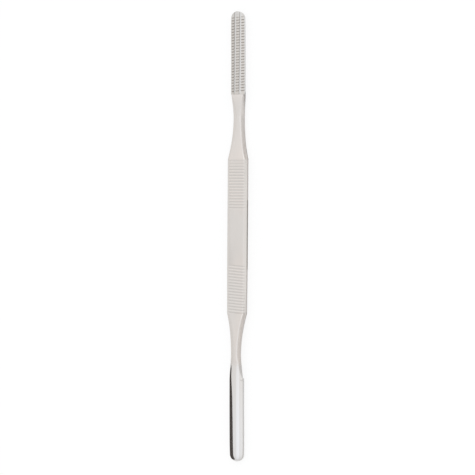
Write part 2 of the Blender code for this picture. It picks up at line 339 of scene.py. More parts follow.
# Where the painted shadow strips beside the panel and the upper neck end.
PANEL_SHADOW_PLACES = (-0.0155, 0.0170)
UPPER_SHADOW_STRIP_END = PLATE_LOW.y + 0.0015


def maths(operation):
    """A method of Value: a Math node with the value in its first socket."""

    def method(self, *others):
        return self.tree.math(operation, self, *others)

    return method


class Value:
    """A socket of a node tree. Python's operators on it add Math nodes."""

    def __init__(self, tree, socket):
        self.tree = tree
        self.socket = socket

    def __rsub__(self, other):
        return self.tree.math("SUBTRACT", other, self)

    __add__ = __radd__ = maths("ADD")
    __sub__ = maths("SUBTRACT")
    __mul__ = __rmul__ = maths("MULTIPLY")
    __truediv__ = maths("DIVIDE")
    __mod__ = maths("FLOORED_MODULO")
    __pow__ = maths("POWER")
    __gt__ = maths("GREATER_THAN")
    __lt__ = maths("LESS_THAN")
    __abs__ = maths("ABSOLUTE")
    __round__ = maths("ROUND")
    at_least = maths("MAXIMUM")
    at_most = maths("MINIMUM")
    near = maths("COMPARE")
    root = maths("SQRT")
    sign = maths("SIGN")
    cosine = maths("COSINE")
    tangent = maths("TANGENT")


class Tree:
    """A node tree that is written as calls and expressions."""

    def __init__(self, nodes):
        self.nodes = nodes.nodes
        self.links = nodes.links

    def add(self, kind, settings=None, inputs=None):
        """A new node: its settings first, then the values or links of its sockets."""
        node = self.nodes.new(kind)
        for name, setting in (settings or {}).items():
            setattr(node, name, setting)
        for name, value in (inputs or {}).items():
            if isinstance(value, Value):
                self.links.new(value.socket, node.inputs[name])
            else:
                node.inputs[name].default_value = value
        return node

    def node(self, kind, settings=None, inputs=None, output=0):
        """One output of a new node."""
        return Value(self, self.add(kind, settings, inputs).outputs[output])

    def math(self, operation, *values):
        return self.node("ShaderNodeMath", {"operation": operation}, dict(enumerate(values)))

    def rise(self, value, start, end, low=0.0, high=1.0):
        """A smooth rise from low to high while a value runs from start to end."""
        return self.node(
            "ShaderNodeMapRange",
            {"interpolation_type": "SMOOTHSTEP"},
            {"Value": value, "From Min": start, "From Max": end, "To Min": low, "To Max": high},
        )

    def mix(self, factor, first, second):
        """A colour between two colours."""
        return self.node("ShaderNodeMix", {"data_type": "RGBA"}, {0: factor, 6: first, 7: second}, 2)

    def toned(self, tone, steel, contrast):
        """A steel that is darker at a tone of 0 and brighter at 1, by the contrast."""
        return self.mix(tone, scaled(steel, 1 - contrast), scaled(steel, 1 + contrast))

    def parts(self, vector):
        """The three numbers of a vector."""
        node = self.add("ShaderNodeSeparateXYZ", {}, {0: vector})
        return [Value(self, socket) for socket in node.outputs]

    def place(self):
        """The place on a piece, in the frame of the packed part."""
        return self.node("ShaderNodeTexCoord", {}, {}, "Object")

    def marked(self, name):
        """The number that a mesh has on its points under this name."""
        return self.node("ShaderNodeAttribute", {"attribute_name": name}, {}, "Fac")

    def mark(self, mesh, name, value):
        """A mesh with a number on each of its points, for the materials to read."""
        return self.node(
            "GeometryNodeStoreNamedAttribute",
            {"data_type": "FLOAT", "domain": "POINT"},
            {"Geometry": mesh, "Name": name, "Value": value},
        )

    def noise(self, place, size, detail=2.0, stretch=1.0):
        """Noise about 0 of this grain size, drawn out along the instrument by stretch."""
        scale = (1 / size, 1 / (size * stretch), 1 / size)
        fine = self.node("ShaderNodeMapping", {}, {"Vector": place, "Scale": scale})
        inputs = {"Vector": fine, "Scale": 1.0, "Detail": detail}
        return self.node("ShaderNodeTexNoise", {"noise_dimensions": "3D"}, inputs) - 0.5


def rgba(values):
    return (*values, 1)


def scaled(steel, factor):
    return rgba([factor * part for part in steel])


def blend(start, shares, parts):
    """A number and these shares of the parts, added up."""
    return sum((parts[name] * weight for name, weight in shares.items()), start)


def new_material(name):
    material = bpy.data.materials.new(name)
    material.use_nodes = True
    material.node_tree.nodes.clear()
    return material, Tree(material.node_tree)


def steel_surface(tree, base, roughness, height):
    """The metal shader, with the height of its grain as a bump."""
    bump = tree.node("ShaderNodeBump", {}, {"Strength": 1.0, "Distance": GRAIN_DEPTH, "Height": height})
    shader = tree.node(
        "ShaderNodeBsdfPrincipled",
        {},
        {"Base Color": base, "Roughness": roughness, "Metallic": 1.0, "Normal": bump},
    )
    tree.add("ShaderNodeOutputMaterial", {}, {"Surface": shader})


def satin_steel(name, finishes, steel, polished):
    """Satin steel with grain and hairlines, worn bright along its edges with a painted highlight, and
    with painted shade in the grip grooves, a painted highlight on the right ridges at the shoulders and
    painted sheen towards the heads. The backs may be polished, with a warmer, darker painted reflection
    where the polish begins.
    """
    material, tree = new_material(name)
    place = tree.place()
    across, along, _ = tree.parts(place)
    along = abs(along)
    hairlines = tree.noise(place, finishes.hairline, FINE_DETAIL, HAIRLINE_STRETCH)
    groove = tree.marked("groove")
    edge = tree.marked("edge")
    parts = {
        "hairlines": hairlines,
        "grain": tree.noise(place, finishes.grain, FINE_DETAIL),
        "clouds": tree.noise(place, finishes.cloud, stretch=CLOUD_STRETCH),
        "groove": groove,
        "edge": edge,
    }
    tone = blend(0.5, SATIN_TONE, parts)
    rough = blend(finishes.satin_rough, SATIN_ROUGH, parts)
    height = blend(0.0, SATIN_HEIGHT, parts)
    # Edges worn bright, partly a painted highlight.
    worn = scaled(steel, 1 + finishes.worn)
    if polished:
        back = tree.marked("back")
        # Painted sheen: the necks' faces and facets lighter towards the heads.
        brightest = finishes.bright / (2 * finishes.contrast)
        sheen_near_head = tree.rise(along, finishes.sheen_start, finishes.sheen_full, 0.0, brightest)
        tone = tone + sheen_near_head * (1 - back)
        # Painted highlight: the necks' right edges brighter near the shoulders.
        highlight_at_shoulder = tree.rise(along, HANDLE_HIGH.y, HANDLE_HIGH.y + finishes.ridge, 1.0, 0.0)
        highlight_on_right = tree.rise(across, 0.0, PLATE_HIGH.x)
        worn = tree.mix(highlight_at_shoulder * highlight_on_right, worn, scaled(steel, 1 + finishes.rubbed))
    plain = tree.toned(tone, steel, finishes.contrast)
    warm_steel = [part * factor for part, factor in zip(steel, finishes.tint)]
    warm = tree.toned(tone, warm_steel, finishes.contrast)
    tint = tree.noise(place, TINT_SIZE * finishes.cloud, 1.0, TINT_STRETCH)
    base = tree.mix(tree.rise(tint, *TINT_RANGE), plain, warm)
    # Painted shade in the bottoms of the grip grooves.
    base = tree.mix(groove, base, scaled(steel, 1 - finishes.groove_shade))
    base = tree.mix(edge, base, worn)
    if polished:
        polish = tree.rise(along, finishes.polish_start, finishes.polish_full) * back
        clear = tree.rise(along, finishes.polish_start, finishes.polish_clear)
        # Painted reflection tint: warmer and darker polish where it begins, clearing further on.
        first = tree.toned(0.5 + hairlines, finishes.warm_reflection_polish, POLISH_CONTRAST)
        last = tree.toned(0.5 + hairlines, finishes.polish, POLISH_CONTRAST)
        base = tree.mix(polish, base, tree.mix(clear, first, last))
        rough = rough * (1 - polish) + (finishes.polish_rough + hairlines * POLISH_ROUGH) * polish
        height = height * (1 - polish) + hairlines * polish * POLISH_HEIGHT
    steel_surface(tree, base, rough, height)
    return material


def tooth_steel(name, finishes, half_width, roll, lean):
    """Ground steel with lines across the plate, with painted shade in the gullets, and worn bright on the
    crests, partly a painted highlight.
    """
    material, tree = new_material(name)
    place = tree.place()
    across, along, _ = tree.parts(place)
    reach = abs(along)
    gullet = tree.marked("gullet")
    crest = tree.marked("crest")
    patches = tree.noise(place, PATCH_SIZE * finishes.cloud)
    parts = {
        "lines": tree.noise(place, LINE_SIZE * finishes.hairline, FINE_DETAIL, LINE_STRETCH),
        "grain": tree.noise(place, finishes.grain, FINE_DETAIL),
        "patches": patches,
        "gullet": gullet,
        "crest": crest,
    }
    at_tip = tree.rise(reach, PLATE_HIGH.y - finishes.tip_worn, PLATE_HIGH.y)
    past_step = tree.rise(reach, PLATE_LOW.y, PLATE_HIGH.y)
    leaning = past_step**LEAN_POWER * along.sign() * lean
    on_side = tree.rise(abs(across + leaning), half_width - roll, half_width - SIDE_START * roll)
    bright = scaled(finishes.plate_side, 1 + finishes.worn)
    base = tree.toned(blend(0.5, TOOTH_TONE, parts), finishes.tooth, finishes.contrast)
    # Crests and the worn tip brighter; on the crests partly a painted highlight.
    base = tree.mix(crest.at_least(at_tip * TIP_WEAR), base, bright)
    # Painted shade in the gullets, on the long grooves' steep sides and on the tip's rim.
    base = tree.mix(gullet * (GULLET_SHADE + patches * GULLET_PATCHES), base, rgba(finishes.gullet))
    base = tree.mix(on_side * (1 - gullet), base, rgba(finishes.plate_side))
    rough = blend(finishes.tooth_rough, TOOTH_ROUGH, parts)
    steel_surface(tree, base, rough, blend(0.0, TOOTH_HEIGHT, parts))
    return material


def between(start, end, steps):
    """The points that part the way from start to end into steps."""
    return [start.lerp(end, i / steps) for i in range(1, steps)]


def softened(path, reach):
    """The points that round each corner of a path, without its two ends."""
    points = []
    for before, corner, after in zip(path, path[1:], path[2:]):
        start = corner.lerp(before, min(ROUNDED_SHARE, reach / (before - corner).length))
        end = corner.lerp(after, min(ROUNDED_SHARE, reach / (after - corner).length))
        for i in range(CORNER_STEPS):
            t = i / (CORNER_STEPS - 1)
            points.append(start.lerp(corner, t).lerp(corner.lerp(end, t), t))
    return points


def corner_wear_and_sheen():
    """How bright the points of one rounded corner are, worn and with a painted highlight: most in its
    middle.
    """
    return [math.sin(math.pi * i / (CORNER_STEPS - 1)) for i in range(CORNER_STEPS)]


def bevel_wear_and_sheen():
    """How bright the points of a bevel's two rounded corners are: the whole bevel is worn bright, with a
    painted highlight.
    """
    rising = [math.sin(math.pi / 2 * i / (CORNER_STEPS - 1)) for i in range(CORNER_STEPS)]
    return rising + rising[::-1]


def bar_ring(y, width, thickness, bevel, reach):
    """Section of a flat bar with four bevels and rounded edges, and with steps across its faces."""
    half = width / 2
    face = thickness / 2
    corners = [(half - bevel, face), (half, face - bevel), (half, bevel - face), (half - bevel, -face)]
    right = [Vector(corner) for corner in corners]
    left = [-corner for corner in right]
    one = softened([left[-1], *right, left[0]], reach)
    other = softened([right[-1], *left, right[0]], reach)
    outline = one + between(one[-1], other[0], FACE_STEPS)
    outline += other + between(other[-1], one[0], FACE_STEPS)
    return [Vector((x, y, z)) for x, z in outline]


def mesh_from(bm, name):
    """The mesh of a finished body, with its faces turned outwards."""
    bmesh.ops.recalc_face_normals(bm, faces=bm.faces)
    mesh = bpy.data.meshes.new(name)
    bm.to_mesh(mesh)
    bm.free()
    return mesh


def in_scene(name, data):
    obj = bpy.data.objects.new(name, data)
    bpy.context.scene.collection.objects.link(obj)
    return obj


def loft(name, rings, **marks):
    """A closed body through rings of as many points each, with marks on its lines of points."""
    bm = bmesh.new()
    layers = {mark: bm.verts.layers.float.new(mark) for mark in marks}
    loops = []
    for ring in rings:
        loop = [bm.verts.new(point) for point in ring]
        for mark, values in marks.items():
            for vert, value in zip(loop, values):
                vert[layers[mark]] = value
        loops.append(loop)
    for near, far in zip(loops, loops[1:]):
        for i in range(len(near)):
            bm.faces.new((near[i - 1], near[i], far[i], far[i - 1]))
    bm.faces.new(loops[0])
    bm.faces.new(reversed(loops[-1]))
    return mesh_from(bm, name)


def smooth(mesh, sharp_angle):
    mesh.shade_smooth()
    mesh.set_sharp_from_angle(angle=sharp_angle)
    return mesh


SOCKET_KINDS = {float: "Float", int: "Int", bpy.types.Material: "Material"}


def labelled(sizes, keys):
    """These sizes under the names that they have in the sidebar."""
    return {sizes.bl_rna.properties[key].name: getattr(sizes, key) for key in keys}


def node_group(name, values):
    """A geometry node group with an input for each value, its tree, and its inputs by name."""
    group = bpy.data.node_groups.new(name, "GeometryNodeTree")
    for way in ("INPUT", "OUTPUT"):
        group.interface.new_socket("Geometry", in_out=way, socket_type="NodeSocketGeometry")
    for label, value in values.items():
        kind = SOCKET_KINDS[type(value)]
        group.interface.new_socket(label, in_out="INPUT", socket_type=f"NodeSocket{kind}")
    tree = Tree(group)
    sockets = tree.add("NodeGroupInput").outputs
    return group, tree, {socket.name: Value(tree, socket) for socket in sockets if socket.name}


def end_group(tree, mesh, material):
    real = tree.node("GeometryNodeRealizeInstances", {}, {"Geometry": mesh})
    painted = tree.node("GeometryNodeSetMaterial", {}, {"Geometry": real, "Material": material})
    tree.add("NodeGroupOutput", {}, {"Geometry": painted})


def grip_group(values):
    """Sinks a grip field of cross grooves into both faces of the handle, towards either end."""
    group, tree, given = node_group("Grip grooves", values)
    x, y, z = tree.parts(tree.node("GeometryNodeInputPosition"))
    end = given["Length"] * 0.5
    pitch = given["Groove pitch"]
    slanted = (y < 0) * given["Groove slant"].tangent()
    inward = end - given["First groove"] - abs(y + x * slanted + given["Field shift"])
    nearest = round(inward / pitch).at_least(0).at_most(given["Grooves"] - 1)
    off_centre = abs(inward - nearest * pitch) / (given["Groove width"] * 0.5)
    hollow = 0.5 + 0.5 * (off_centre.at_most(1) * math.pi).cosine()
    full_depth = given["Thickness"] * 0.5 - given["Bevel"] * GROOVE_END
    on_face = tree.rise(abs(z), given["Socket height"], full_depth)
    fresh = tree.rise(end - y, 0, given["Worn length"], given["Worn depth"], 1)
    groove = hollow * on_face * fresh
    sink = groove * given["Groove depth"] * z.sign()
    offset = tree.node("ShaderNodeCombineXYZ", {}, {"Z": sink * -1})
    marked = tree.mark(given["Geometry"], "groove", groove)
    moved = tree.node("GeometryNodeSetPosition", {}, {"Geometry": marked, "Offset": offset})
    end_group(tree, moved, given["Material"])
    return group


def tooth_group(values):
    """Shapes the flat top of a plate into a crown with long grooves and slanting rows of teeth."""
    group, tree, given = node_group("Tooth rows", values)
    x, y, z = tree.parts(tree.node("GeometryNodeInputPosition"))
    # The crown, its rounded rim and its worn middle.
    past_end = y - given["Length"]
    near_end = (past_end / given["Taper length"] + 1).at_least(0)
    half = given["Width"] * 0.5 - given["Taper"] * near_end * near_end
    tipward = (past_end / given["Tip length"] + 1).at_least(0)
    in_tip = tipward.at_most(1)
    across = x / half
    to_side = (half * (1 - (across * across + tipward * tipward).root())).at_least(0)
    roll = given["Side roll"]
    rolled = 1 - (to_side / (roll + (given["Tip roll"] - roll) * in_tip)).at_most(1)
    rounding = roll * (1 - (1 - rolled * rolled).root())
    hump = (1 - across * across).at_least(0)
    crown = given["Edge height"] + given["Crown"] * hump
    fresh = 1 - given["Worn middle"] * hump * hump
    from_tip = tree.rise(given["Length"] - y, given["Plain tip"] * TIP_START, given["Plain tip"])
    # The long grooves, and the strips beside them where the teeth are cut away.
    wall = given["Column wall"]
    slope = given["Column slope"]
    long_groove = 0
    beside = 1
    dark = 0
    for side in COLUMN_SIDES:
        past_rim = x - given["Column spacing"] * side + (wall + slope) * 0.5 + given["Column shift"]
        hollow = (past_rim / wall).at_most((wall + slope - past_rim) / slope).at_least(0)
        long_groove = hollow + long_groove
        past_strip = tree.rise(past_rim, *(wall + slope * part for part in STRIP_END))
        beside = beside - ((past_rim > 0) - past_strip).at_least(0)
        # Painted shade: a dark line on each long groove's steep side.
        dark = dark + past_rim.near(*(wall * part for part in SHADE_LINE))
    # The rows: each gullet falls gently and rises steeply to a crest.
    pitch = given["Slope"] + given["Face"] + given["Land"]
    past_base = y - x * given["Slant"].tangent() - given["Base land"]
    phase = past_base % pitch
    falling = (phase / given["Slope"]).at_most(1)
    rising = ((phase - given["Slope"]) / given["Face"]).at_least(0).at_most(1)
    in_teeth = past_base > -FIRST_TOLERANCE
    runs_out = tree.rise(to_side, 0, given["Plain side"], SIDE_GULLET, 1)
    gullet = (falling - rising) * in_teeth * runs_out * beside * fresh * from_tip
    begun = tree.rise(past_base, given["Base land"] * -GROOVE_START, 0)
    groove = long_groove * given["Column depth"] * begun
    height = crown - rounding - (gullet * given["Depth"]).at_least(groove)
    leaning = x + given["Column lean"] * (y / given["Length"]) * hump
    placed = tree.node("ShaderNodeCombineXYZ", {}, {"X": leaning, "Y": y, "Z": height})
    # What the material reads: painted shade in the gullets, on the long grooves' steep sides and on the
    # tip's rim, and the crests' mark.
    on_top = z > 0
    past_face = (phase - given["Slope"] - given["Face"]) / given["Land"]
    crest = (abs(past_face - 0.5) * 2).at_most(1) * (past_face > -CREST_TOLERANCE) * in_teeth
    # Crests worn bright, partly a painted highlight, and the strips beside the long grooves as bright.
    rubbed = (crest * beside * from_tip * CREST_WEAR_AND_SHEEN).at_least(1 - beside)
    # Painted shade on the tip's rim joins the gullets and the dark lines.
    shaded = gullet.at_least(dark).at_least(rolled * in_tip * RIM_SHADE)
    marked = tree.mark(given["Geometry"], "gullet", shaded * in_teeth * on_top)
    marked = tree.mark(marked, "crest", rubbed * in_teeth * on_top)
    inputs = {"Geometry": marked, "Selection": on_top, "Position": placed}
    end_group(tree, tree.node("GeometryNodeSetPosition", {}, inputs), given["Material"])
    return group


def shaped(mesh, group, values, cutter=None):
    """A plain mesh from a node group on a mesh, cut to the outline of a cutter where there is one."""
    obj = in_scene(mesh.name, mesh)
    modifier = obj.modifiers.new(group.name, "NODES")
    modifier.node_group = group
    for item in group.interface.items_tree:
        if item.in_out == "INPUT" and item.name in values:
            modifier[item.identifier] = values[item.name]
    if cutter is not None:
        boolean = obj.modifiers.new("Outline", "BOOLEAN")
        boolean.operation = "INTERSECT"
        boolean.object = cutter
    graph = bpy.context.evaluated_depsgraph_get()
    result = bpy.data.meshes.new_from_object(obj.evaluated_get(graph))
    bpy.data.objects.remove(obj)
    return result


def lean_aside(mesh, lean, bow):
    """Leans a head aside, more and more towards its tip, after a neck that bows to the other side."""
    for vert in mesh.vertices:
        reach = abs(vert.co.y)
        past_step = max(0.0, reach - PLATE_LOW.y) / (PLATE_HIGH.y - PLATE_LOW.y)
        along_neck = (reach - BOW_START) / (BOW_END - BOW_START)
        bowed = math.sin(math.pi * min(max(0.0, along_neck), 1.0)) ** 2
        vert.co.x -= math.copysign(1, vert.co.y) * (lean * past_step**LEAN_POWER - bow * bowed)


def add_piece(name, mesh, place, node, lean=0.0, bow=0.0):
    """A finished piece: its place goes into its mesh, and it stands for one node of the packed part."""
    mesh.transform(place)
    lean_aside(mesh, lean, bow)
    obj = in_scene(name, mesh)
    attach(obj, "root")
    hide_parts(node)


def end_places(distance):
    """Where two like pieces go: the upper one as it is, the lower one turned half round about X."""
    upper = Matrix.Translation((0, distance, MIDDLE_HEIGHT))
    lower = Matrix.Translation((0, -distance, MIDDLE_HEIGHT)) @ Matrix.Rotation(math.pi, 4, "X")
    return {"upper": upper, "lower": lower}


def groove_stations(sizes):
    """Places along the handle at which its rings lie, close together in each groove."""
    end = sizes.length / 2
    first = end - sizes.first_groove
    stations = {0.0}
    for side in (-1, 1):
        stations |= {side * end, side * (end - sizes.edge / 2)}
        for i in range(sizes.groove_count):
            for j in range(HANDLE_STEPS):
                offset = (j / HANDLE_STEPS - 0.5) * sizes.groove_pitch
                place = side * (first - i * sizes.groove_pitch + offset) - sizes.field_shift
                stations.add(min(max(place, -end), end))
    return sorted(stations)


def bar_width(sizes, y):
    """Width of the bar at a place along it: it narrows a little towards its lower end."""
    past_straight = max(0.0, -y - sizes.straight) / (sizes.length / 2 - sizes.straight)
    return sizes.width + (sizes.end_width - sizes.width) * past_straight


def handle_mesh(sizes, blade, material):
    """The bar with its grip grooves and a blind socket in each end."""
    gap = sizes.socket_clearance
    end = sizes.length / 2
    socket_end = end - blade.tang_length - gap
    socket_width = blade.tang_width + 2 * gap
    socket_height = blade.tang_thickness + 2 * gap

    def socket(y):
        reach = sizes.edge * TANG_ROUNDING
        return bar_ring(y, socket_width, socket_height, blade.tang_bevel, reach)

    def bar(y):
        return bar_ring(y, bar_width(sizes, y), sizes.thickness, sizes.bevel, sizes.edge)

    rings = [socket(-socket_end), socket(-end)]
    rings += [bar(y) for y in groove_stations(sizes)]
    rings += [socket(end), socket(socket_end)]
    wear_and_sheen = (bevel_wear_and_sheen() * 2 + [0.0] * (FACE_STEPS - 1)) * 2
    keys = ["length", "thickness", "bevel", "first_groove", "field_shift", "worn_length", "worn_depth"]
    keys += [f"groove_{key}" for key in ("slant", "pitch", "width", "depth", "count")]
    values = labelled(sizes, keys) | {"Socket height": socket_height / 2, "Material": material}
    mesh = shaped(loft("ribbed_handle", rings, edge=wear_and_sheen), grip_group(values), values)
    return smooth(mesh, FLAT_SMOOTH_ANGLE)


def back_points(half, back, facet, drop, roundness, reach):
    """The back of a section without its ends: a bevelled flat at roundness 0, an arc at 1."""
    ends = [Vector((half, back + drop)), Vector((-half, back + drop))]
    turns = [Vector((half - facet, back)), Vector((facet - half, back))]
    flat = softened([ends[0], *turns], reach)
    left = softened([*turns, ends[1]], reach)
    flat += between(flat[-1], left[0], FLAT_STEPS) + left
    path = [ends[0]] + flat + [ends[1]]
    runs = [0.0]
    for near, far in zip(path, path[1:]):
        runs.append(runs[-1] + (far - near).length)
    radius = (half**2 + drop**2) / (2 * drop)
    spread = math.asin(half / radius)
    points = []
    for point, run in zip(flat, runs[1:]):
        turn = spread * (1 - 2 * run / runs[-1])
        arc = Vector((radius * math.sin(turn), back + radius * (1 - math.cos(turn))))
        points.append(point.lerp(arc, roundness))
    return points


class Section(NamedTuple):
    """What shapes one section of a blade: a face with two slanting facets, two sides and the back."""

    face_width: float
    back_width: float
    front: float
    back: float
    facet: float
    facet_drop: float
    back_facet: float
    back_drop: float
    roundness: float
    reach: float


def blade_ring(y, section):
    """The points of one section of a blade."""
    reach = section.reach
    half = section.face_width / 2
    back_half = section.back_width / 2
    shelf = section.front - section.facet_drop
    hem = section.back + section.back_drop
    face = [Vector((section.facet - half, section.front)), Vector((half - section.facet, section.front))]
    upper = [Vector((half, shelf)), Vector((-half, shelf))]
    lower = [Vector((back_half, hem)), Vector((-back_half, hem))]
    middle = back_points(
        back_half, section.back, section.back_facet, section.back_drop, section.roundness, reach
    )
    outline = softened([*face, upper[0], lower[0], middle[0]], reach) + middle
    outline += softened([middle[-1], lower[1], upper[1], *face], reach)
    return [Vector((x, y, z)) for x, z in outline]


def blade_marks():
    """Marks on the lines of points of a blade: its edges, worn bright and with a painted highlight, and
    which lines are on its back.
    """
    flat = FLAT_STEPS - 1
    front = [0.0] * 2 * CORNER_STEPS
    wear_and_sheen = corner_wear_and_sheen() * 4 + [0.0] * flat + corner_wear_and_sheen() * 4
    return {"edge": wear_and_sheen, "back": front + [1.0] * (4 * CORNER_STEPS + flat) + front}


def head_half(half, from_end, teeth):
    """Half a head's width at a distance from its end: it narrows a little, then ends in a half round."""
    near_end = max(0.0, 1 - from_end / teeth.taper_length)
    in_tip = max(0.0, 1 - from_end / teeth.tip)
    return (half - teeth.taper * near_end**2) * math.sqrt(1 - in_tip**2)


def blade_mesh(name, shoulder_width, waist, seat_width, handle, sizes, teeth):
    """Tang, neck and half-round back in one body. Its origin is in the plane of its shoulder."""
    face = handle.thickness / 2
    shoulder = handle.length / 2 + handle.socket_clearance
    crest_relief = HANDLE_HIGH.z - PLATE_HIGH.z
    seat = face - crest_relief - teeth.edge - teeth.crown
    head_back = seat - sizes.back_depth
    waist_back = sizes.waist_lift - face
    waist_front = waist_back + sizes.waist_thickness
    head_width = teeth.width - 2 * sizes.ledge
    neck_length = PLATE_LOW.y - handle.joint_gap - shoulder
    head_flare = neck_length - sizes.handle_flare
    back_end = PLATE_HIGH.y - shoulder - sizes.ledge

    def in_line(past_waist):
        return past_waist**2 * (3 - 2 * past_waist)

    def early(past_waist):
        return (in_line(past_waist) + past_waist * (2 - past_waist)) / 2

    def along(distance, at_handle, at_waist, at_head, headward=None, power=2):
        """A size that changes from the waist to both ends, by a power or, headward, by a curve."""
        past_waist = distance - sizes.handle_flare
        if past_waist < 0:
            return at_waist + (at_handle - at_waist) * (-past_waist / sizes.handle_flare) ** power
        past_waist /= head_flare
        changed = headward(past_waist) if headward else past_waist**power
        return at_waist + (at_head - at_waist) * changed

    def neck(distance):
        bevel = handle.bevel
        crown = sizes.back_crown
        section = Section(
            face_width=along(distance, shoulder_width, waist, seat_width),
            back_width=along(distance, shoulder_width, waist, head_width, early),
            front=along(distance, face, waist_front, seat + sizes.seat_step, in_line),
            back=along(distance, -face, waist_back, head_back, in_line),
            facet=along(distance, bevel, sizes.waist_facet, sizes.seat_facet, None, FACET_POWER),
            facet_drop=along(distance, bevel, sizes.waist_drop, sizes.seat_drop, None, FACET_POWER),
            back_facet=along(distance, bevel, sizes.waist_facet, crown, in_line, BACK_POWER),
            back_drop=along(distance, bevel, sizes.waist_drop, crown, in_line, BACK_POWER),
            roundness=along(distance, 0, 0, 1, in_line),
            reach=along(distance, handle.edge, sizes.waist_edge, sizes.head_edge),
        )
        return blade_ring(distance, section)

    def tang(y):
        half = sizes.tang_thickness / 2
        bevel = sizes.tang_bevel
        width = sizes.tang_width
        reach = bevel * TANG_ROUNDING
        return blade_ring(y, Section(width, width, half, -half, bevel, bevel, bevel, bevel, 0, reach))

    def head(distance):
        width = 2 * head_half(head_width / 2, back_end - distance, teeth)
        narrow = width / head_width
        back = seat - sizes.back_depth * math.sqrt(narrow)
        crown = sizes.back_crown * narrow
        edge = sizes.head_edge * narrow
        section = Section(width, width, seat, back, edge, edge, crown, crown, 1, edge / 2)
        return blade_ring(distance, section)

    gap = handle.socket_clearance
    rings = [tang(-sizes.tang_length), tang(-gap)]
    rings.append([Vector((point.x, -gap, point.z)) for point in neck(0)])
    for i in range(NECK_RINGS):
        rings.append(neck(sizes.handle_flare * i / NECK_RINGS))
    for i in range(NECK_RINGS + 1):
        rings.append(neck(sizes.handle_flare + head_flare * i / NECK_RINGS))
    head_start = neck_length + handle.joint_gap / 2
    tip_start = back_end - teeth.tip
    for i in range(HEAD_RINGS):
        rings.append(head(head_start + (tip_start - head_start) * i / HEAD_RINGS))
    for i in range(TIP_RINGS + 1):
        rings.append(head(tip_start + teeth.tip * math.sin(TIP_LAST_ANGLE * i / TIP_RINGS)))
    return smooth(loft(name, rings, **blade_marks()), FLAT_SMOOTH_ANGLE)


def tooth_columns(sizes):
    """Places across the plate where its face changes slope, with steps between them."""
    half = sizes.width / 2
    roll = sizes.roll
    plain = sizes.plain_side
    wall = sizes.column_wall
    groove = wall + sizes.column_slope
    marks = [(-half - roll, 1), (-half, ROLL_STEPS), (roll - half, SIDE_STEPS)]
    marks.append((plain - half, COLUMN_STEPS))
    for side in COLUMN_SIDES:
        rim = side * sizes.column_spacing - groove / 2 - sizes.column_shift
        marks += [(rim, SIDE_STEPS), (rim + wall, COLUMN_STEPS), (rim + groove, COLUMN_STEPS)]
    marks += [(half - plain, SIDE_STEPS), (half - roll, ROLL_STEPS), (half, 1), (half + roll, 1)]
    columns = []
    for (start, count), (end, _) in zip(marks, marks[1:]):
        columns += [start + (end - start) * i / count for i in range(count)]
    return columns + [marks[-1][0]]


def tooth_stations(sizes):
    """Places along the plate where its face changes slope, with steps between them."""
    pitch = sizes.slope + sizes.face + sizes.land
    stations = [-pitch]
    for i in range(int((sizes.length - sizes.base_land) / pitch) + 1):
        start = sizes.base_land + i * pitch
        bottom = start + sizes.slope
        top = bottom + sizes.face
        stations += [start, (start + bottom) / 2, bottom, (bottom + top) / 2, top, top + sizes.land / 2]
    stations.append(sizes.length + pitch)
    return stations


def raise_to(extruded, height):
    """Puts the new points of an extrusion at this height."""
    for item in extruded["geom"]:
        if isinstance(item, bmesh.types.BMVert):
            item.co.z = height


def plate_block(sizes, gap):
    """A block whose top is a grid that slants with the teeth. It reaches down to the seat."""
    columns = tooth_columns(sizes)
    stations = tooth_stations(sizes)
    bm = bmesh.new()
    bmesh.ops.create_grid(bm, x_segments=len(columns) - 1, y_segments=len(stations) - 1, size=1)
    for i, vert in enumerate(bm.verts):
        x = columns[i % len(columns)]
        vert.co = (x, stations[i // len(columns)] + x * math.tan(sizes.slant), sizes.edge)
    rim = [edge for edge in bm.edges if edge.is_boundary]
    raise_to(bmesh.ops.extrude_edge_only(bm, edges=rim), -gap)
    bmesh.ops.holes_fill(bm, edges=[edge for edge in bm.edges if edge.is_boundary])
    return mesh_from(bm, "toothed_block")


def plate_outline(sizes):
    """The plate's outline from above as a tall prism."""
    half = sizes.width / 2
    straight = sizes.length - sizes.tip
    taper_start = sizes.length - sizes.taper_length
    places = [taper_start + (straight - taper_start) * i / TAPER_STEPS for i in range(TAPER_STEPS)]
    for i in range(2 * TIP_RINGS):
        places.append(straight + sizes.tip * math.sin(math.pi / 4 * i / TIP_RINGS))
    right = [(half, 0)] + [(head_half(half, sizes.length - y, sizes), y) for y in places]
    corners = right + [(0, sizes.length)] + [(-x, y) for x, y in reversed(right)]
    bm = bmesh.new()
    bottom = bm.faces.new([bm.verts.new((x, y, -sizes.length)) for x, y in corners])
    raise_to(bmesh.ops.extrude_face_region(bm, geom=[bottom]), sizes.length)
    return mesh_from(bm, "plate_outline")


def tooth_plate_mesh(sizes, gap, material):
    """A tooth plate on its seat, with its origin at the step."""
    values = labelled(sizes, ToothSizes.__annotations__) | {"Material": material}
    cutter = in_scene("plate_outline", plate_outline(sizes))
    mesh = shaped(plate_block(sizes, gap), tooth_group(values), values, cutter)
    bpy.data.objects.remove(cutter)
    return smooth(mesh, TOOTH_SMOOTH_ANGLE)


class RASP_OT_handle(bpy.types.Operator):
    """Makes the ribbed handle"""

    bl_idname = "rasp.handle"
    bl_label = "Ribbed handle"

    def execute(self, context):
        scene = context.scene
        material = satin_steel("satin_steel", scene.rasp_steel, scene.rasp_steel.satin, False)
        mesh = handle_mesh(scene.rasp_handle, scene.rasp_blade, material)
        add_piece("ribbed_handle", mesh, Matrix.Translation((0, 0, MIDDLE_HEIGHT)), "handle")
        return {"FINISHED"}


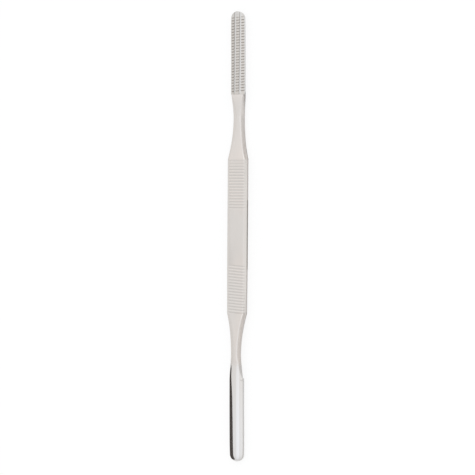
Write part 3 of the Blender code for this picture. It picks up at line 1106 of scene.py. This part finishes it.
class RASP_OT_blades(bpy.types.Operator):
    """Makes the two blades: tang, neck and half-round back"""

    bl_idname = "rasp.blades"
    bl_label = "Blades"

    def execute(self, context):
        scene = context.scene
        material = satin_steel("polished_steel", scene.rasp_steel, scene.rasp_steel.neck, True)
        sizes = scene.rasp_blade
        handle = scene.rasp_handle
        widths = {
            "upper": (handle.width, sizes.upper_waist, sizes.upper_seat),
            "lower": (handle.end_width, sizes.lower_waist, sizes.lower_seat),
        }
        distance = handle.length / 2 + handle.socket_clearance
        for end, place in end_places(distance).items():
            name = f"{end}_neck_and_back"
            mesh = blade_mesh(name, *widths[end], handle, sizes, scene.rasp_teeth)
            mesh.materials.append(material)
            add_piece(name, mesh, place, f"{end}_blade", sizes.lean, sizes.bow)
        return {"FINISHED"}


class RASP_OT_tooth_plates(bpy.types.Operator):
    """Makes the two tooth plates"""

    bl_idname = "rasp.tooth_plates"
    bl_label = "Tooth plates"

    def execute(self, context):
        scene = context.scene
        sizes = scene.rasp_teeth
        lean = scene.rasp_blade.lean
        bow = scene.rasp_blade.bow
        material = tooth_steel("tooth_steel", scene.rasp_steel, sizes.width / 2, sizes.roll, lean)
        mesh = tooth_plate_mesh(sizes, scene.rasp_handle.socket_clearance, material)
        seat = PLATE_HIGH.z - MIDDLE_HEIGHT - sizes.edge - sizes.crown
        for end, place in end_places(PLATE_LOW.y).items():
            on_seat = place @ Matrix.Translation((0, 0, seat))
            add_piece(f"{end}_teeth", mesh.copy(), on_seat, f"{end}_tooth_plate", lean, bow)
        return {"FINISHED"}


def place_camera(scene, settings):
    """A long lens that looks down at the instrument from the right."""
    turn = settings.tilt
    lean = settings.lean
    back = Vector((math.sin(turn), 0, math.cos(turn)))
    right = Vector((math.cos(turn), 0, -math.sin(turn)))
    up = Vector((0, 1, 0))
    camera_x = right * math.cos(lean) + up * math.sin(lean)
    camera_y = up * math.cos(lean) - right * math.sin(lean)
    pixel = settings.view_width / PHOTO_PIXELS
    aim = Vector((0, 0, MIDDLE_HEIGHT)) - (camera_x * AIM_PIXELS[0] + camera_y * AIM_PIXELS[1]) * pixel
    data = bpy.data.cameras.new("camera")
    data.lens = settings.lens
    data.sensor_width = SENSOR_WIDTH
    data.clip_end = FAR_CLIP
    distance = settings.lens / SENSOR_WIDTH * settings.view_width
    matrix = Matrix((camera_x, camera_y, back)).transposed().to_4x4()
    matrix.translation = aim + back * distance
    scene.camera = in_scene("camera", data)
    scene.camera.matrix_world = matrix


def table_material(settings):
    """A table that shows white to the camera and to the metal, and keeps the instrument's shadow."""
    material, tree = new_material("table")
    path = tree.add("ShaderNodeLightPath").outputs
    rays = [Value(tree, path[f"Is {kind} Ray"]) for kind in ("Camera", "Glossy", "Transmission")]
    seen, reflected, refracted = rays
    paint = tree.node("ShaderNodeBsdfDiffuse", {}, {"Color": rgba(settings.table)})
    glow = tree.node("ShaderNodeEmission", {}, {"Color": WHITE, "Strength": TABLE_STRENGTH})
    factor = seen * settings.table_seen + reflected.at_least(refracted) * settings.table_mirrored
    mixed = tree.node("ShaderNodeMixShader", {}, {0: factor, 1: paint, 2: glow})
    tree.add("ShaderNodeOutputMaterial", {}, {"Surface": mixed})
    return material


def card_material(name, tone):
    material, tree = new_material(name)
    paint = tree.node("ShaderNodeBsdfDiffuse", {}, {"Color": rgba(tone)})
    tree.add("ShaderNodeOutputMaterial", {}, {"Surface": paint})
    return material


def add_stage_piece(name, corners, material):
    """A flat piece of the stage."""
    mesh = bpy.data.meshes.new(name)
    mesh.from_pydata(corners, [], [range(len(corners))])
    mesh.materials.append(material)
    obj = in_scene(name, mesh)
    return obj


def add_card(name, corners, material):
    """A card that only the metal sees."""
    card = add_stage_piece(name, corners, material)
    card.visible_camera = False
    card.visible_diffuse = False
    card.visible_shadow = False


def add_table(settings):
    half = settings.table_half
    corners = [(-half, -half), (half, -half), (half, half), (-half, half)]
    add_stage_piece("table", [(x, y, TABLE_HEIGHT) for x, y in corners], table_material(settings))


def upright(edge, away, sign):
    """The corners of an upright card, beside the upper end of the instrument or the lower one."""
    top = [(away, sign * y, abs(away) * rise) for y, rise in edge]
    return [(away, sign * edge[0][0], 0), *top, (away, sign * edge[-1][0], 0)]


def add_dark_card(settings):
    """The card on the left that the polished lower back mirrors as a dark stripe."""
    corners = upright(DARK_EDGE, -settings.dark_distance, 1)
    add_card("dark_card", corners, card_material("dark_card", settings.dark))


def add_side_cards(settings, handle, blade):
    """Pale cards beside the necks, and painted shadow strips on the table along the handle and the necks.
    """
    pale = card_material("pale_card", settings.pale)
    shade_grey = card_material("shade_grey_card", settings.shade_grey)
    panel_shadow = card_material("panel_shadow_card", settings.panel_shadow)
    half = handle.width / 2
    end = handle.length / 2
    waist = end + blade.handle_flare
    low, high = PANEL_SHADOW_PLACES
    upper_neck = [(half, end), (blade.upper_waist / 2, waist), (PLATE_HIGH.x, UPPER_SHADOW_STRIP_END)]
    # Painted shadow, seen only in the metal: strips on the table where the instrument's shadow falls.
    strips = {
        "middle": (panel_shadow, [(half, low), (half, high)]),
        "upper_grip": (pale, [(half, high), (half, end)]),
        "lower_grip": (pale, [(half, low), (half, -end)]),
        "upper_neck": (shade_grey, upper_neck),
        "lower_neck": (shade_grey, [(half, -end), (blade.lower_waist / 2, -waist)]),
    }
    for name, (tone, inner) in strips.items():
        corners = inner + [(x + settings.shadow_strip_width, y) for x, y in reversed(inner)]
        add_card(f"{name}_strip", [(x, y, 0) for x, y in corners], tone)
    for sign, name, edge in ((1, "upper", UPPER_EDGE), (-1, "lower", LOWER_EDGE)):
        add_card(f"{name}_pale_card", upright(edge, settings.pale_distance, sign), pale)
    add_card("shade_card", upright(SHADE_EDGE, SHADE_SHARE * settings.pale_distance, 1), shade_grey)


def add_lamp(settings):
    """A soft lamp over the instrument, a little brighter than the tent."""
    left = settings.lamp_height * math.tan(settings.lamp_left)
    right = settings.lamp_height * math.tan(settings.lamp_right)
    lamp = bpy.data.lights.new("overhead", "AREA")
    lamp.shape = "RECTANGLE"
    lamp.size = right - left
    lamp.size_y = settings.lamp_length
    lamp.color = settings.lamp
    lamp.energy = settings.lamp_light * math.pi * lamp.size * lamp.size_y
    overhead = in_scene("overhead", lamp)
    overhead.location = ((left + right) / 2, 0, settings.lamp_height)
    overhead.visible_camera = False


def add_tent(scene, settings):
    """White light from all sides, a little brighter towards the upper end and the right."""
    world = bpy.data.worlds.new("tent")
    world.use_nodes = True
    world.node_tree.nodes.clear()
    tree = Tree(world.node_tree)
    across, along, _ = tree.parts(tree.node("ShaderNodeTexCoord", {}, {}, "Generated"))
    strength = 1 + along * settings.end_light + across * settings.side_light
    light = tree.node("ShaderNodeBackground", {}, {"Color": WHITE, "Strength": strength})
    tree.add("ShaderNodeOutputWorld", {}, {"Surface": light})
    scene.world = world


class RASP_OT_stage(bpy.types.Operator):
    """Makes the table, the light, the cards and the camera"""

    bl_idname = "rasp.stage"
    bl_label = "Stage"

    def execute(self, context):
        scene = context.scene
        settings = scene.rasp_stage
        scene.view_settings.view_transform = "Standard"
        add_table(settings)
        add_dark_card(settings)
        add_side_cards(settings, scene.rasp_handle, scene.rasp_blade)
        add_lamp(settings)
        add_tent(scene, settings)
        place_camera(scene, settings)
        return {"FINISHED"}


GROUPS = {
    "rasp_handle": HandleSizes,
    "rasp_blade": BladeSizes,
    "rasp_teeth": ToothSizes,
    "rasp_steel": SteelFinishes,
    "rasp_stage": StageSettings,
}
OPERATORS = (RASP_OT_handle, RASP_OT_blades, RASP_OT_tooth_plates, RASP_OT_stage)


class RASP_PT_sidebar(bpy.types.Panel):
    """Lists the pieces and their sizes"""

    bl_idname = "RASP_PT_sidebar"
    bl_label = "Bone rasp"
    bl_space_type = "VIEW_3D"
    bl_region_type = "UI"
    bl_category = "Bone rasp"

    def draw(self, context):
        layout = self.layout
        for operator in OPERATORS:
            layout.operator(operator.bl_idname)
        for name, group in GROUPS.items():
            box = layout.box()
            box.label(text=group.__doc__)
            for prop in group.__annotations__:
                box.prop(getattr(context.scene, name), prop)


CLASSES = (*GROUPS.values(), *OPERATORS, RASP_PT_sidebar)


def register():
    for cls in CLASSES:
        bpy.utils.register_class(cls)
    for name, group in GROUPS.items():
        setattr(bpy.types.Scene, name, bpy.props.PointerProperty(type=group))


def unregister():
    for name in GROUPS:
        delattr(bpy.types.Scene, name)
    for cls in reversed(CLASSES):
        bpy.utils.unregister_class(cls)


def main():
    register()
    bpy.ops.rasp.handle()
    bpy.ops.rasp.blades()
    bpy.ops.rasp.tooth_plates()
    bpy.ops.rasp.stage()


if __name__ == "__main__":
    main()
